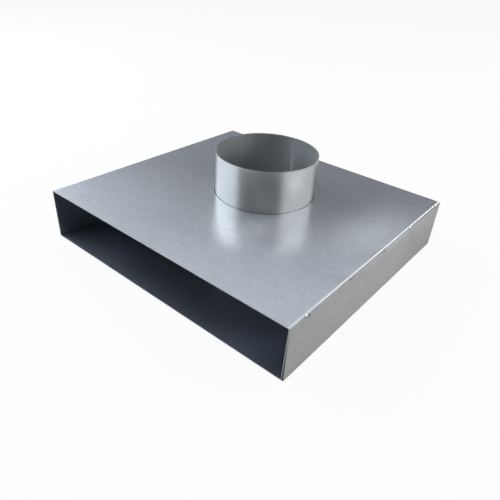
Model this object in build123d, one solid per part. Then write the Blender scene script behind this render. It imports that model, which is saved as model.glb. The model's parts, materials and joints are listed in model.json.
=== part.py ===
from build123d import *
from math import asin, atan2, cos, degrees, radians, sin
import os

# Grille box of galvanised sheet: a flat duct section, open along its front, closed at the rear by a
# flanged cap, with a round duct spigot standing on its top.
# Millimetres. X runs along the open front, Y from front to rear, Z up. The origin is the middle of
# the underside.

# The duct section
box_width = 350.0
box_depth = 320.0
box_height = 62.0
sheet = 0.8                  # gauge of the duct section and of the rear cap
bend_inside = 1.0            # inside radius of every pressed fold

# The seam along the top right corner: the top sheet folds down inside the right wall as a lap
lap_gap_head = 0.15          # gap between the lap and the right wall, just under the fold
lap_gap_foot = 1.6           # the lap is sprung away from the wall at its foot
lap_foot_clear = 0.4         # gap between the foot of the lap and the floor sheet

# Weld tacks that close the seam, set by hand at a rough pitch
tack_first = 24.0            # front edge to the first tack
tack_last = 13.0             # last tack to the rear edge
tack_drifts = (0.0, 5.0, -1.0, -4.0, 0.0)    # one for each tack, along the seam
tack_length = 4.0
tack_across = 2.2
tack_rise = 0.65             # how far a tack stands above the top sheet
tack_proud = 0.45            # how far it stands out over the right wall

# The rear cap, a tray whose flanges point into the box
cap_flange = 15.0
cap_corner_relief = 0.6      # open corner beyond the folds, where two flanges meet
cap_spots_along = 4          # spot welds on each long flange
cap_spot_inset = 42.0        # side wall to the first of them

# The spigot, rolled from a strip and turned out under the top sheet
spigot_outside = 124.0       # slides into a 125 mm duct
spigot_height = 52.0         # top sheet to rim
spigot_back = 25.0           # spigot axis behind the middle of the box
spigot_sheet = 0.8
spigot_hole_gap = 0.9        # between the spigot and the hole that it rises through
spigot_flange = 9.0          # how far the foot reaches out under the top sheet
spigot_bend_inside = 0.8
spigot_spots = 6             # spot welds between the foot and the top sheet

# The strip's two ends lap inside the rear of the spigot, where a joggle keeps the outside flush
seam_facing = 95.0           # degrees anticlockwise from +X, seen from above
seam_slit = 0.3
seam_joggle = 2.5
seam_lap = 12.0
seam_gap = 0.15
seam_foot_clear = 2.5        # the inner end is snipped off above the turned-out foot
seam_spots = 3

# Spot weld marks, the shallow dishes that the electrodes leave
spot_width = 4.6
spot_depth = 0.14

half_width = box_width / 2
half_depth = box_depth / 2
top_underside = box_height - sheet
rear_plane = Plane.XZ.offset(-half_depth)    # looks towards the open front
spigot_radius = spigot_outside / 2
spigot_rim = box_height + spigot_height
spigot_axis = Location((0, spigot_back, 0))
spot_sphere = (spot_width**2 / 4 + spot_depth**2) / (2 * spot_depth)

# Middle line of the lap, from the fold down to its foot
lap_head_x = half_width - sheet - lap_gap_head - sheet / 2
lap_foot_x = half_width - sheet - lap_gap_foot - sheet / 2
lap_head_z = box_height - sheet / 2
lap_foot_z = sheet + lap_foot_clear
lap_lean = atan2(lap_head_x - lap_foot_x, lap_head_z - lap_foot_z)


def evenly(count, first, last):
    """Places from first to last, evenly spaced."""
    return [first + (last - first) * i / (count - 1) for i in range(count)]


def lap_inner_x(height):
    """Where the lap's inner face is at a height above the ground."""
    share = (height - lap_foot_z) / (lap_head_z - lap_foot_z)
    middle = lap_foot_x + (lap_head_x - lap_foot_x) * share
    return middle - sheet / 2 / cos(lap_lean)


def spot_mark(place, outward):
    """The electrode's mark, to be cut from the face that looks outward."""
    latitude = degrees(asin(1 - 2 * spot_depth / spot_sphere))
    dish = Sphere(spot_sphere, arc_size1=-90, arc_size2=-latitude, align=None)
    return Plane(place, z_dir=outward) * Pos(0, 0, spot_sphere - spot_depth) * dish


def make_duct_section():
    """One sheet, from the right wall round the floor, left wall and top to the lap."""
    middle_line = FilletPolyline(
        (half_width - sheet / 2, box_height),
        (half_width - sheet / 2, sheet / 2),
        (-half_width + sheet / 2, sheet / 2),
        (-half_width + sheet / 2, box_height - sheet / 2),
        (lap_head_x, lap_head_z),
        (lap_foot_x, lap_foot_z),
        radius=bend_inside + sheet / 2,
    )
    section = extrude(rear_plane * trace(middle_line, sheet), box_depth)
    hole = Cylinder(spigot_radius + spigot_hole_gap, 4 * sheet)
    return section - spigot_axis * Pos(0, 0, box_height) * hole


def make_rear_cap():
    """A plate with four flanges that fits the rear of the duct section, notched at its corners."""
    left = -half_width + sheet
    corners = [
        (left, sheet),
        (lap_inner_x(sheet), sheet),
        (lap_inner_x(top_underside), top_underside),
        (left, top_underside),
    ]
    outline = Polygon(*corners, align=None)
    tray = extrude(rear_plane * outline, cap_flange)
    tray = fillet(tray.faces().sort_by(Axis.Y)[-1].edges(), bend_inside + sheet)
    inline = offset(outline, -sheet, kind=Kind.INTERSECTION)
    hollow = extrude(rear_plane.offset(sheet) * inline, cap_flange)
    hollow = fillet(hollow.faces().sort_by(Axis.Y)[-1].edges(), bend_inside)
    cap = tray - hollow

    notch = 2 * (bend_inside + sheet + cap_corner_relief)
    for x, z in corners:
        cap -= Pos(x, half_depth, z) * Box(notch, 3 * cap_flange, notch)

    spot_y = half_depth - (bend_inside + sheet + cap_flange) / 2
    for x in evenly(cap_spots_along, -half_width + cap_spot_inset, half_width - cap_spot_inset):
        cap -= spot_mark((x, spot_y, 2 * sheet), (0, 0, 1))
        cap -= spot_mark((x, spot_y, top_underside - sheet), (0, 0, -1))
    middle_z = box_height / 2
    cap -= spot_mark((left + sheet, spot_y, middle_z), (1, 0, 0))
    lap_face = lap_inner_x(middle_z) - sheet / cos(lap_lean)
    cap -= spot_mark((lap_face, spot_y, middle_z), (-cos(lap_lean), 0, sin(lap_lean)))
    return cap


def on_circle(radius, angle):
    """A point at an angle in degrees on a circle about the spigot's axis."""
    return (radius * cos(radians(angle)), radius * sin(radians(angle)))


def ring_sector(inner, outer, first, last):
    """Plan of the part of a ring that lies between two angles."""
    return make_face([
        CenterArc((0, 0), inner, first, last - first),
        Line(on_circle(inner, last), on_circle(outer, last)),
        CenterArc((0, 0), outer, first, last - first),
        Line(on_circle(outer, first), on_circle(inner, first)),
    ])


def make_spigot():
    """A strip rolled to a tube, its ends lapped at the rear, its foot turned out as a flange."""
    inner = spigot_radius - spigot_sheet
    foot_z = top_underside - spigot_sheet
    foot_outer = spigot_radius + spigot_hole_gap + spigot_flange
    middle = spigot_radius - spigot_sheet / 2
    middle_line = FilletPolyline(
        (middle, spigot_rim),
        (middle, foot_z + spigot_sheet / 2),
        (foot_outer, foot_z + spigot_sheet / 2),
        radius=spigot_bend_inside + spigot_sheet / 2,
    )
    spigot = revolve(Plane.XZ * trace(middle_line, spigot_sheet), Axis.Z)

    # The two ends: one runs up to the slit, the other steps in before it and passes underneath
    degree = degrees(1 / spigot_radius)
    slit_from = seam_facing - degree * seam_slit / 2
    slit_to = seam_facing + degree * seam_slit / 2
    step_from = slit_from - degree * seam_joggle
    lap_to = slit_from + degree * (seam_slit + seam_lap)
    lap_outer = inner - seam_gap
    lap_inner = lap_outer - spigot_sheet
    lap_z = box_height + seam_foot_clear
    slit = ring_sector(inner / 2, foot_outer + spigot_sheet, slit_from, slit_to)
    spigot -= extrude(Pos(0, 0, foot_z - spigot_sheet) * slit, spigot_rim)
    step_room = ring_sector(inner / 2, foot_outer, step_from, slit_to)
    spigot -= extrude(Pos(0, 0, lap_z) * step_room, spigot_rim)
    step = make_face(
        Polyline(
            on_circle(inner, step_from),
            on_circle(spigot_radius, step_from),
            on_circle(lap_outer, slit_from),
            on_circle(lap_inner, slit_from),
            close=True,
        )
    )
    lap = ring_sector(lap_inner, lap_outer, slit_from, lap_to)
    spigot += extrude(Pos(0, 0, lap_z) * (step + lap), spigot_rim - lap_z)

    # Marks of the spot welds through the two ends, and of those that hold the foot to the top sheet
    outward = Vector(*on_circle(1, (slit_to + lap_to) / 2))
    for z in evenly(seam_spots + 2, lap_z, spigot_rim)[1:-1]:
        spigot -= spot_mark(Vector(0, 0, z) + outward * spigot_radius, outward)
    spot_radius = foot_outer - (spigot_flange + spigot_hole_gap - spigot_bend_inside) / 2
    for i in range(spigot_spots):
        x, y = on_circle(spot_radius, seam_facing + 360 * (i + 0.5) / spigot_spots)
        spigot -= spot_mark((x, y, foot_z), (0, 0, -1))
    return spigot_axis * spigot


def make_seam_tacks(duct_section):
    """Short beads of weld over the right wall's raw edge, in the groove beside the folded top."""
    bead = Cylinder(tack_across / 2, tack_length, rotation=(90, 0, 0))
    x = half_width + tack_proud - tack_across / 2
    z = box_height + tack_rise - tack_across / 2
    places = evenly(len(tack_drifts), -half_depth + tack_first, half_depth - tack_last)
    tacks = []
    for y, drift in zip(places, tack_drifts):
        tacks.append(Pos(x, y + drift, z) * bead - duct_section)
    return Compound(tacks)


duct_section = make_duct_section()
nodes = {
    "duct_section": duct_section,
    "rear_cap": make_rear_cap(),
    "spigot": make_spigot(),
    "seam_tacks": make_seam_tacks(duct_section),
}
os.makedirs("parts", exist_ok=True)
for node, shape in nodes.items():
    export_step(shape, f"parts/{node}.step")
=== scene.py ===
import json
from math import cos, pi, radians, sin

import bmesh
import bpy
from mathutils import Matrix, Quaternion, Vector, noise


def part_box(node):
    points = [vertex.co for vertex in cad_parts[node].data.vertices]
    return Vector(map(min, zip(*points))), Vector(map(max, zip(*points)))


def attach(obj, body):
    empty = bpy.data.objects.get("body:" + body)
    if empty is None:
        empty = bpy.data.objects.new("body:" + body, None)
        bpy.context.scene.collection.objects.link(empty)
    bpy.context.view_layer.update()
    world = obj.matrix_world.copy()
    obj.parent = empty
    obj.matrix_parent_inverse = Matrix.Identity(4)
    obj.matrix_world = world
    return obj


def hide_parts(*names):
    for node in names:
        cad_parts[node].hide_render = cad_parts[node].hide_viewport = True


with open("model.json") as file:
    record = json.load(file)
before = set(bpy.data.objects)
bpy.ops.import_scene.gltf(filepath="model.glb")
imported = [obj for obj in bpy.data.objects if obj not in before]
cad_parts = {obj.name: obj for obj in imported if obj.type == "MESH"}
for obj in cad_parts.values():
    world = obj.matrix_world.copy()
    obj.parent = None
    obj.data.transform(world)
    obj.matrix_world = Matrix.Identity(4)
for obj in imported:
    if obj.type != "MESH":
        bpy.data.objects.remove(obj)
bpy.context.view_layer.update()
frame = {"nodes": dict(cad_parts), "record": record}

# Sizes in millimetres are turned to the scene's metres by this
mm = 0.001

# The duct section, and the middle of the arc of its seam fold, in the section across the box
box_low, box_high = (Vector(corner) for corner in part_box("duct_section"))
box_middle = (box_low + box_high) / 2
box_half = (box_high - box_low) / 2
sheet = 0.8 * mm                # gauge of the box and of the spigot
fold_radius = 1.8 * mm          # outside of the fold
lap_gap = 0.15 * mm             # between the lap and the right wall, just under the fold
fold_centre = Vector((box_high.x - sheet - lap_gap - fold_radius, 0.0, box_high.z - fold_radius))

# What lies this near to the plane of a sheared edge is the edge itself
cut_skin = 0.03 * mm

# The spigot, and the crease of the joggle that laps its two ends at the rear
spigot_mount = next(mount for mount in frame["record"]["mounts"] if mount["name"] == "spigot")
spigot_axis = Vector((*spigot_mount["pos_m"][:2], 0.0))
spigot_radius = spigot_mount["dims"]["r_mm"] * mm
spigot_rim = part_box("spigot")[1][2]
joggle_facing = radians(93.7)   # anticlockwise from +X, seen from above
joggle_depth = 1.0 * mm
joggle_ray = Vector((cos(joggle_facing), sin(joggle_facing), 0.0))
joggle_crease = spigot_axis + joggle_ray * (spigot_radius - joggle_depth)

# The weld tacks along the seam at the top right corner, from the front to the rear, in millimetres: the
# length of each bead, how full it is, and how wide its dark blot of soot and painted shadow spreads on the
# wall, behind the bead and below
tack_sizes = (
    (3.8, 0.95, 1.5),
    (3.0, 0.8, 0.6),
    (2.8, 0.65, 1.0),
    (4.3, 1.0, 0.5),
    (4.6, 0.95, 0.7),
)
tack_high = Vector(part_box("seam_tacks")[1])
tack_apart = 10.0 * mm          # two tacks are further apart than this, and none is as long
bead_inset = Vector((-1.15, 0.0, -1.0)) * mm    # from the tacks' outermost corner to a bead's middle
soot_shadow_offset = Vector((0.0, 3.6, -2.0)) * mm
bead_seed = 1                   # fixes the roughness of the beads, so that each run makes the same ones

# A distance from which the search for the nearest tack starts
far_off = 1.0

# The sheet is painted darker towards the left rear, as painted shade, between two distances along this
# direction
shade_direction = (-0.48, 1.0, 0.0)
shade_start = -60.0 * mm
shade_end = 100.0 * mm
shade_depth = 0.76

# Two soft patches on the top are painted paler, as painted highlights: x and y of the middle, how far each
# reaches across, and its gain.
# They reach further from front to rear, and not down the walls
highlight_patches = (
    (150.0, 30.0, 56.0, 1.38),
    (52.0, -50.0, 34.0, 1.3),
)
highlight_stretch = Vector((1.0, 0.5, 4.0))

# The camera, fitted to the photograph's corners and rims: its roll is in degrees, and its lens and the
# width of its sensor are in millimetres
camera_place = Vector((325.8, -413.7, 326.95)) * mm
camera_view = Vector((-0.51558, 0.66086, -0.54539))
camera_roll = -3.76
camera_lens = 34.57
camera_sensor = 36.0

# The floor and the wall round it, in metres, and how much of its own white the camera and a mirror see
floor_radius = 12.0
wall_height = 10.0
floor_drop = 0.2 * mm
white_seen = 0.94
white_mirrored = 0.15

# The softboxes: azimuth and elevation in degrees, distance, width and height in metres, radiance, colour
softboxes = {
    "softbox_left": (205, 28, 1.6, 2.4, 0.78, 7.3, "e5f0ff"),
    "softbox_high": (188, 44, 1.6, 0.8, 0.6, 4.5, "e5f0ff"),
    "softbox_right": (34, 25, 1.6, 3.0, 0.86, 4.8, "edf4ff"),
    "softbox_top": (300, 76, 0.9, 0.7, 0.5, 1.8, "e5f0ff"),
    "softbox_rear": (120, 48, 1.8, 2.6, 0.65, 1.35, "e5f0ff"),
}


def find_tacks():
    """Where each tack sits along the corner. The points of the plain tacks lie in one run for each."""
    along = sorted(point.co.y for point in frame["nodes"]["seam_tacks"].data.vertices)
    runs = [[along[0]]]
    for before, point in zip(along, along[1:]):
        if point - before > tack_apart:
            runs.append([])
        runs[-1].append(point)
    return [Vector((box_high.x, (run[0] + run[-1]) / 2, box_high.z)) for run in runs]


def linear(code):
    """An sRGB hex colour as linear RGBA."""
    channels = [int(code[i:i + 2], 16) / 255 for i in (0, 2, 4)]
    return [c / 12.92 if c <= 0.04045 else ((c + 0.055) / 1.055) ** 2.4 for c in channels] + [1.0]


def add(tree, kind, settings=None, **links):
    """Adds a node. Settings are its properties, where stops are a ramp's (position, hex colour) pairs.
    Links are its inputs by name or by _number, each a value, a socket, or a node for its first output."""
    node = tree.nodes.new(kind)
    for name, value in (settings or {}).items():
        if name != "stops":
            setattr(node, name, value)
            continue
        band = node.color_ramp.elements
        band.remove(band[1])
        for i, (position, code) in enumerate(value):
            stop = band.new(position) if i else band[0]
            stop.position = position
            stop.color = linear(code)
    for name, value in links.items():
        socket = node.inputs[int(name[1:]) if name[1:].isdigit() else name.replace("_", " ")]
        if isinstance(value, bpy.types.Node):
            value = value.outputs[0]
        if isinstance(value, bpy.types.NodeSocket):
            tree.links.new(value, socket)
        else:
            socket.default_value = value
    return node


def new_material(name):
    """An empty material and its node tree."""
    material = bpy.data.materials.new(name)
    material.use_nodes = True
    material.node_tree.nodes.clear()
    return material, material.node_tree


def zinc_coat(tree, place, spangle, dark, light):
    """What hot-dip galvanising gives the eye: a light grey metal in crystals a few millimetres across, each
    a touch lighter or duller than the next, under faint smudges from handling.
    Returns the coat's colour, and a small change of roughness from crystal to crystal."""
    crystals = add(tree, "ShaderNodeTexVoronoi", Vector=place, Scale=1 / spangle).outputs["Color"]
    crystal = add(tree, "ShaderNodeSeparateXYZ", Vector=crystals).outputs
    smudges = add(tree, "ShaderNodeTexNoise", Vector=place, Scale=1 / (60 * mm), Detail=5.0, Roughness=0.6)
    tone = add(tree, "ShaderNodeValToRGB", {"stops": ((0.35, dark), (0.65, light))}, Fac=smudges)
    shift = add(tree, "ShaderNodeMapRange", Value=crystal["X"], To_Min=0.96, To_Max=1.03)
    colour = add(tree, "ShaderNodeVectorMath", {"operation": "MULTIPLY"}, _0=tone, _1=shift)
    duller = add(tree, "ShaderNodeMapRange", Value=crystal["Y"], To_Min=-0.01, To_Max=0.01)
    return colour, duller


def bare_edge(tree, place):
    """The colour of a sheared edge: bare steel, bright where it was cut and dull where it tore."""
    shears = add(tree, "ShaderNodeTexNoise", Vector=place, Scale=1 / (0.6 * mm), Detail=2.0)
    return add(tree, "ShaderNodeValToRGB", {"stops": ((0.3, "9a9c9e"), (0.7, "c9cbcd"))}, Fac=shears)


def satin_metal(tree, colour, duller, normal, hollows, tops, polished):
    """A skin pass between smooth rolls flattens the coat's tops and leaves rough hollows, too small to see
    one by one. So the metal glows broadly, as its hollows do, and mirrors softly, as its tops do.
    Hollows and tops are their roughness, and polished is the share of the tops."""
    lobes = []
    for roughness in (hollows, tops):
        rough = add(tree, "ShaderNodeMath", {"operation": "ADD"}, _0=duller, _1=roughness)
        lobes.append(add(tree, "ShaderNodeBsdfPrincipled", Metallic=1.0, Base_Color=colour,
                         Roughness=rough, Normal=normal))
    both = add(tree, "ShaderNodeMixShader", Fac=polished, _1=lobes[0], _2=lobes[1])
    add(tree, "ShaderNodeOutputMaterial", Surface=both)


def weld_scorch_and_shadow(tree, place, tack_spots):
    """What welding left on the sheet: a ragged ring round each tack, where the heat dulled the zinc, and a
    dark blot painted on the wall beside it, partly soot and partly painted shadow of the bead.
    Returns the colour that multiplies the zinc's, and the distance to the nearest tack."""
    nearest = far_off
    from_soot_shadow = far_off
    for spot, (_, _, spread) in zip(tack_spots, tack_sizes):
        apart = add(tree, "ShaderNodeVectorMath", {"operation": "DISTANCE"}, _0=place, _1=spot)
        nearest = add(tree, "ShaderNodeMath", {"operation": "MINIMUM"}, _0=nearest,
                      _1=apart.outputs["Value"])
        blot = add(tree, "ShaderNodeVectorMath", {"operation": "DISTANCE"}, _0=place,
                   _1=spot + soot_shadow_offset)
        edge = add(tree, "ShaderNodeMath", {"operation": "SUBTRACT"}, _0=blot.outputs["Value"],
                   _1=spread * mm)
        from_soot_shadow = add(tree, "ShaderNodeMath", {"operation": "MINIMUM"}, _0=from_soot_shadow, _1=edge)

    ragged = add(tree, "ShaderNodeTexNoise", Vector=place, Scale=1 / (2.5 * mm), Detail=3.0)
    fringe = add(tree, "ShaderNodeMath", {"operation": "MULTIPLY_ADD"}, _0=ragged, _1=5 * mm, _2=nearest)
    cool = add(tree, "ShaderNodeMapRange", Value=fringe, From_Min=3 * mm, From_Max=7 * mm)
    scorch = add(tree, "ShaderNodeValToRGB", {"stops": ((0.0, "b4b2ae"), (0.5, "dcdcde"), (1.0, "ffffff"))},
                 Fac=cool)
    # A dark blot is painted on the wall beside each tack, partly soot and partly painted shadow of the
    # bead.
    soot_shadow_fringe = add(tree, "ShaderNodeMath", {"operation": "MULTIPLY_ADD"}, _0=ragged, _1=1.6 * mm, _2=from_soot_shadow)
    clear = add(tree, "ShaderNodeMapRange", Value=soot_shadow_fringe, From_Min=0.4 * mm, From_Max=1.4 * mm)
    scorch_and_soot_shadow = add(tree, "ShaderNodeMix", {"data_type": "RGBA"}, _0=clear, _6=linear("6c6e74"), _7=scorch)
    return scorch_and_soot_shadow.outputs[2], nearest


def shade_and_highlight_share(tree, place):
    """Painted shade and highlights as a share of the sheet's colour: darker towards the left rear, and
    paler in two patches on the top.
    """
    inwards = add(tree, "ShaderNodeVectorMath", {"operation": "DOT_PRODUCT"}, _0=place, _1=shade_direction)
    painted_tone = add(tree, "ShaderNodeMapRange", {"interpolation_type": "SMOOTHSTEP"},
              Value=inwards.outputs["Value"], From_Min=shade_start, From_Max=shade_end,
              To_Min=1.0, To_Max=shade_depth)
    stretched = add(tree, "ShaderNodeVectorMath", {"operation": "MULTIPLY"}, _0=place, _1=highlight_stretch)
    for x, y, reach, gain in highlight_patches:
        patch = Vector((x * mm, y * mm, box_high.z)) * highlight_stretch
        apart = add(tree, "ShaderNodeVectorMath", {"operation": "DISTANCE"}, _0=stretched, _1=patch)
        highlight_gain = add(tree, "ShaderNodeMapRange", {"interpolation_type": "SMOOTHSTEP"},
                    Value=apart.outputs["Value"], From_Max=reach * mm, To_Min=gain, To_Max=1.0)
        painted_tone = add(tree, "ShaderNodeMath", {"operation": "MULTIPLY"}, _0=painted_tone, _1=highlight_gain)
    return painted_tone


def on_seam_fold(tree, place):
    """1 on the outside of the seam fold, and 0 elsewhere."""
    section = add(tree, "ShaderNodeVectorMath", {"operation": "MULTIPLY"}, _0=place, _1=(1.0, 0.0, 1.0))
    apart = add(tree, "ShaderNodeVectorMath", {"operation": "DISTANCE"}, _0=section, _1=fold_centre)
    return add(tree, "ShaderNodeMapRange", Value=apart.outputs["Value"],
               From_Min=fold_radius + 0.1 * mm, From_Max=fold_radius + 0.4 * mm, To_Min=1.0, To_Max=0.0)


def inside_box(tree, away):
    """1 on what lies deeper than half the gauge behind the outer faces and the rims, and 0 elsewhere.
    Away is how far the place is from the middle of the box along each axis."""
    within = 1.0
    for axis, half in zip("XYZ", box_half):
        deep = add(tree, "ShaderNodeMath", {"operation": "LESS_THAN"}, _0=away[axis], _1=half - sheet / 2)
        within = add(tree, "ShaderNodeMath", {"operation": "MULTIPLY"}, _0=within, _1=deep)
    return within


def galvanised_sheet(tack_spots):
    """Hot-dip galvanised sheet steel, folded and tack-welded. It gives the eye a satin grey coat in slow
    waves, as all thin sheet has, drawn in round each tack. Its sheared edges are bare, it is painted darker
    and bluer inside the box as painted shade, and a pale line is painted along the outside of the seam
    fold, partly the coat crazed by bending and partly a painted highlight. It is painted darker towards the
    left rear and paler in two patches on the top, as painted shade and highlights, and beside each tack a
    dark blot is painted, partly soot and partly painted shadow of the bead."""
    material, tree = new_material("hot_dip_galvanised_sheet")
    place = add(tree, "ShaderNodeTexCoord").outputs["Object"]
    zinc, duller = zinc_coat(tree, place, 5 * mm, "b1b1b1", "b5b5b5")
    tack_tint_and_shadow, from_tack = weld_scorch_and_shadow(tree, place, tack_spots)
    zinc_with_tack_shadow = add(tree, "ShaderNodeVectorMath", {"operation": "MULTIPLY"}, _0=zinc, _1=tack_tint_and_shadow)
    # The sheet is painted darker towards the left rear and paler in two patches on the top, as painted
    # shade and highlights.
    lit_and_shaded_zinc = add(tree, "ShaderNodeVectorMath", {"operation": "MULTIPLY"}, _0=zinc_with_tack_shadow,
               _1=shade_and_highlight_share(tree, place))
    # A pale line is painted on the outside of the seam fold, partly the coat crazed by bending and partly a
    # painted highlight.
    fold_craze_and_highlight = add(tree, "ShaderNodeMix", {"data_type": "RGBA"}, _0=on_seam_fold(tree, place), _6=lit_and_shaded_zinc,
                 _7=linear("cbc6be"))

    centred = add(tree, "ShaderNodeVectorMath", {"operation": "SUBTRACT"}, _0=place, _1=box_middle)
    apart = add(tree, "ShaderNodeVectorMath", {"operation": "ABSOLUTE"}, _0=centred)
    away = add(tree, "ShaderNodeSeparateXYZ", Vector=apart).outputs
    within = inside_box(tree, away)
    # Inside the box the colour is painted darker and bluer, as painted shade.
    box_inside_shaded = add(tree, "ShaderNodeMix", {"data_type": "RGBA"}, _0=within, _6=fold_craze_and_highlight.outputs[2],
                _7=linear("a2a7b0"))
    cut = add(tree, "ShaderNodeMath", {"operation": "GREATER_THAN"}, _0=away["Y"],
              _1=box_half.y - cut_skin)
    colour = add(tree, "ShaderNodeMix", {"data_type": "RGBA"}, _0=cut, _6=box_inside_shaded.outputs[2],
                 _7=bare_edge(tree, place))
    dull = add(tree, "ShaderNodeMath", {"operation": "MULTIPLY_ADD"}, _0=within, _1=-0.2, _2=duller)
    polished = add(tree, "ShaderNodeMapRange", Value=within, To_Min=0.43, To_Max=0.5)

    waves = add(tree, "ShaderNodeTexNoise", Vector=place, Scale=1 / (110 * mm), Detail=1.0)
    sway = add(tree, "ShaderNodeBump", Strength=1.0, Distance=0.5 * mm, Height=waves)
    pull = add(tree, "ShaderNodeMapRange", {"interpolation_type": "SMOOTHERSTEP"}, Value=from_tack,
               From_Max=22 * mm)
    drawn = add(tree, "ShaderNodeBump", Strength=1.0, Distance=0.35 * mm, Height=pull, Normal=sway)
    satin_metal(tree, colour.outputs[2], dull, drawn, hollows=0.7, tops=0.25, polished=polished)
    return material


def rolled_strip():
    """The same zinc-coated sheet after the bending rolls. It gives the eye a brighter polish outside, where
    faint upright flats break the reflections into fine bands, a duller inside painted darker as painted
    shade, a bare sheared rim, and a pale line painted along the joggle crease, partly worn coat and partly
    a painted highlight."""
    material, tree = new_material("rolled_galvanised_strip")
    place = add(tree, "ShaderNodeTexCoord").outputs["Object"]
    zinc, duller = zinc_coat(tree, place, 4 * mm, "aeaeab", "b2b2af")

    plan = add(tree, "ShaderNodeVectorMath", {"operation": "MULTIPLY"}, _0=place, _1=(1.0, 1.0, 0.0))
    from_axis = add(tree, "ShaderNodeVectorMath", {"operation": "DISTANCE"}, _0=plan, _1=spigot_axis)
    inside = add(tree, "ShaderNodeMath", {"operation": "LESS_THAN"}, _0=from_axis.outputs["Value"],
                 _1=spigot_radius - sheet / 2)
    # Inside the tube the colour is painted darker, as painted shade.
    tube_shade_share = add(tree, "ShaderNodeMapRange", Value=inside, To_Min=1.0, To_Max=0.87)
    tube_shaded_zinc = add(tree, "ShaderNodeVectorMath", {"operation": "MULTIPLY"}, _0=zinc, _1=tube_shade_share)
    # A pale line is painted along the joggle crease, partly worn coat and partly a painted highlight.
    from_crease = add(tree, "ShaderNodeVectorMath", {"operation": "DISTANCE"}, _0=plan, _1=joggle_crease)
    creased = add(tree, "ShaderNodeMapRange", Value=from_crease.outputs["Value"], From_Min=0.8 * mm,
                  From_Max=2.0 * mm, To_Min=1.0, To_Max=0.0)
    crease_wear_and_highlight = add(tree, "ShaderNodeMix", {"data_type": "RGBA"}, _0=creased, _6=tube_shaded_zinc, _7=linear("dcdedf"))
    height = add(tree, "ShaderNodeSeparateXYZ", Vector=place).outputs["Z"]
    cut = add(tree, "ShaderNodeMath", {"operation": "GREATER_THAN"}, _0=height, _1=spigot_rim - cut_skin)
    colour = add(tree, "ShaderNodeMix", {"data_type": "RGBA"}, _0=cut, _6=crease_wear_and_highlight.outputs[2],
                 _7=bare_edge(tree, place))
    dull = add(tree, "ShaderNodeMath", {"operation": "MULTIPLY_ADD"}, _0=inside, _1=0.2, _2=duller)
    polished = add(tree, "ShaderNodeMapRange", Value=inside, To_Min=0.86, To_Max=0.6)

    # The flats are about 9 mm wide and run the whole height of the tube
    upright = add(tree, "ShaderNodeMapping", Vector=place, Scale=(1.0, 1.0, 0.03))
    flats = add(tree, "ShaderNodeTexNoise", Vector=upright, Scale=1 / (9 * mm), Detail=3.0)
    rolled = add(tree, "ShaderNodeBump", Strength=1.0, Distance=0.035 * mm, Height=flats)
    satin_metal(tree, colour.outputs[2], dull, rolled, hollows=0.5, tops=0.25, polished=polished)
    return material


def weld_metal():
    """Solidified weld steel in short beads: bright silver, with patches of straw and blue heat tint."""
    material, tree = new_material("mild_steel_weld")
    place = add(tree, "ShaderNodeTexCoord").outputs["Object"]
    patches = add(tree, "ShaderNodeTexNoise", Vector=place, Scale=1 / (1.5 * mm), Detail=3.0)
    tint = add(tree, "ShaderNodeValToRGB", {"stops": ((0.3, "8b8f9c"), (0.5, "d8dade"), (0.75, "cfc6b4"))},
               Fac=patches)
    ripples = add(tree, "ShaderNodeTexNoise", Vector=place, Scale=1 / (0.5 * mm), Detail=2.0)
    skin = add(tree, "ShaderNodeBump", Strength=0.5, Distance=0.05 * mm, Height=ripples)
    steel = add(tree, "ShaderNodeBsdfPrincipled", Metallic=1.0, Base_Color=tint, Roughness=0.32,
                Normal=skin)
    add(tree, "ShaderNodeOutputMaterial", Surface=steel)
    return material


def studio_paper():
    """Matt pale studio paper. The camera sees it nearly white with a faint shadow, and so do mirrored rays,
    which keep more of the shadow."""
    material, tree = new_material("matt_studio_paper")
    matt = add(tree, "ShaderNodeBsdfDiffuse", Color=linear("d0c8ba"))
    white = add(tree, "ShaderNodeEmission", Color=linear("ffffff"), Strength=1.0)
    path = add(tree, "ShaderNodeLightPath").outputs
    mirrored = add(tree, "ShaderNodeMath", {"operation": "ADD"}, _0=path["Is Glossy Ray"],
                   _1=path["Is Transmission Ray"])
    dimmed = add(tree, "ShaderNodeMath", {"operation": "MULTIPLY"}, _0=mirrored, _1=white_mirrored)
    share = add(tree, "ShaderNodeMath", {"operation": "MULTIPLY_ADD"}, _0=path["Is Camera Ray"],
                _1=white_seen, _2=dimmed)
    both = add(tree, "ShaderNodeMixShader", Fac=share, _1=matt, _2=white)
    add(tree, "ShaderNodeOutputMaterial", Surface=both)
    return material


def show(name, content):
    """An object that holds a mesh, a light or a camera, linked to the scene."""
    thing = bpy.data.objects.new(name, content)
    bpy.context.scene.collection.objects.link(thing)
    return thing


def make_floor():
    """A round floor whose far edge is turned up into a wall, so that the view has no horizon."""
    mesh = bpy.data.meshes.new("floor")
    shape = bmesh.new()
    bmesh.ops.create_circle(shape, cap_ends=True, segments=96, radius=floor_radius)
    rim = [edge for edge in shape.edges if edge.is_boundary]
    wall = bmesh.ops.extrude_edge_only(shape, edges=rim)["geom"]
    raised = [part for part in wall if isinstance(part, bmesh.types.BMVert)]
    bmesh.ops.translate(shape, verts=raised, vec=(0.0, 0.0, wall_height))
    shape.to_mesh(mesh)
    shape.free()
    mesh.materials.append(studio_paper())
    floor = show("floor", mesh)
    floor.location.z = -floor_drop


def make_camera():
    """The camera at the photograph's place."""
    data = bpy.data.cameras.new("camera")
    data.lens = camera_lens
    data.sensor_width = camera_sensor
    data.clip_start = 0.01
    camera = show("camera", data)
    level = camera_view.to_track_quat("-Z", "Y")
    camera.rotation_mode = "QUATERNION"
    camera.rotation_quaternion = Quaternion(camera_view, radians(camera_roll)) @ level
    camera.location = camera_place
    bpy.context.scene.camera = camera


def direction(azimuth, elevation):
    """A unit vector: azimuth in degrees anticlockwise from +X, seen from above, and elevation."""
    around, up = radians(azimuth), radians(elevation)
    return Vector((cos(around) * cos(up), sin(around) * cos(up), sin(up)))


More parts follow.
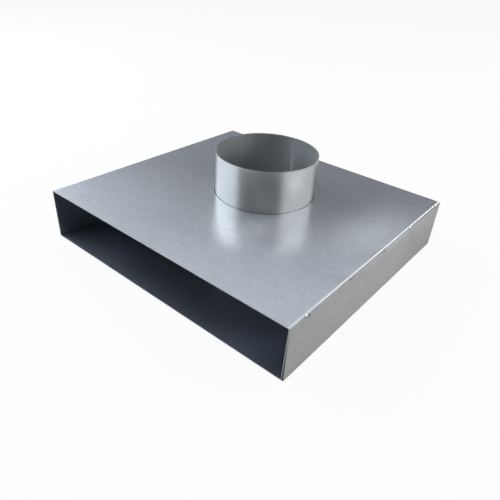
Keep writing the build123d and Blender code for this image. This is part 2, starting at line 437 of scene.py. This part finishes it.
def softbox(name, azimuth, elevation, distance, width, height, radiance, colour):
    """An area light that faces the middle of the top. Radiance 1 looks as bright as white paper."""
    data = bpy.data.lights.new(name, "AREA")
    data.shape = "RECTANGLE"
    data.size = width
    data.size_y = height
    data.energy = radiance * pi * width * height
    data.color = linear(colour)[:3]
    light = show(name, data)
    outward = direction(azimuth, elevation)
    light.location = Vector((0, 0, box_high.z)) + outward * distance
    light.rotation_mode = "QUATERNION"
    light.rotation_quaternion = outward.to_track_quat("Z", "Y")
    light.visible_camera = False


def make_sky():
    """A studio's dim surroundings, a little lighter overhead."""
    world = bpy.data.worlds.new("studio_dome")
    bpy.context.scene.world = world
    world.use_nodes = True
    tree = world.node_tree
    tree.nodes.clear()
    towards = add(tree, "ShaderNodeTexCoord").outputs["Generated"]
    height = add(tree, "ShaderNodeSeparateXYZ", Vector=towards).outputs["Z"]
    dome = add(tree, "ShaderNodeValToRGB", {"stops": ((0.0, "22262b"), (0.45, "3c4248"), (0.7, "5c636b"))},
               Fac=height)
    glow = add(tree, "ShaderNodeBackground", Color=dome, Strength=1.0)
    add(tree, "ShaderNodeOutputWorld", Surface=glow)


def tack_bead(shape, spot, length, swell, number):
    """One short bead over the raw top edge of the wall, with blunt ends and faint ripples, fuller where it
    ran down the outside. Its number keeps its roughness unlike that of the others."""
    sections = 15
    around = 18
    middle = Vector((tack_high.x, spot.y, tack_high.z)) + bead_inset
    rings = []
    for i in range(1, sections):
        along = 2 * i / sections - 1
        girth = swell * (1 - along**2) ** 0.42 * (1 + 0.07 * cos(5 * pi * along))
        ring = []
        for j in range(around):
            angle = 2 * pi * j / around
            run_down = max(0.0, cos(angle + radians(52))) ** 2
            out = (0.8 + 0.45 * run_down) * girth * mm
            point = middle + Vector((cos(angle) * out, along * length / 2 * mm, sin(angle) * out))
            rough = noise.noise_vector(point / (1.1 * mm) + Vector((0, number * 7.7, 0)))
            ring.append(shape.verts.new(point + rough * 0.12 * mm * girth))
        rings.append(ring)
    for lower, upper in zip(rings, rings[1:]):
        for j in range(around):
            k = (j + 1) % around
            shape.faces.new((lower[j], lower[k], upper[k], upper[j]))
    shape.faces.new(rings[0][::-1])
    shape.faces.new(rings[-1])


def make_tack_beads(tack_spots):
    """The weld tacks as they solidified, in the places of the plain ones."""
    noise.seed_set(bead_seed)
    mesh = bpy.data.meshes.new("tack_beads")
    shape = bmesh.new()
    for number, (spot, (length, swell, _)) in enumerate(zip(tack_spots, tack_sizes)):
        tack_bead(shape, spot, length, swell, number)
    bmesh.ops.recalc_face_normals(shape, faces=shape.faces)
    for face in shape.faces:
        face.smooth = True
    shape.to_mesh(mesh)
    shape.free()
    mesh.materials.append(weld_metal())
    beads = show("tack_beads", mesh)
    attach(beads, "root")
    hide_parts("seam_tacks")


def dress(node, material):
    """Gives a CAD node one material all over."""
    mesh = frame["nodes"][node].data
    mesh.materials.clear()
    mesh.materials.append(material)


tack_spots = find_tacks()
sheet_finish = galvanised_sheet(tack_spots)
dress("duct_section", sheet_finish)
dress("rear_cap", sheet_finish)
dress("spigot", rolled_strip())
make_tack_beads(tack_spots)

make_floor()
make_sky()
for name, sizes in softboxes.items():
    softbox(name, *sizes)
make_camera()
bpy.context.scene.view_settings.view_transform = "Standard"
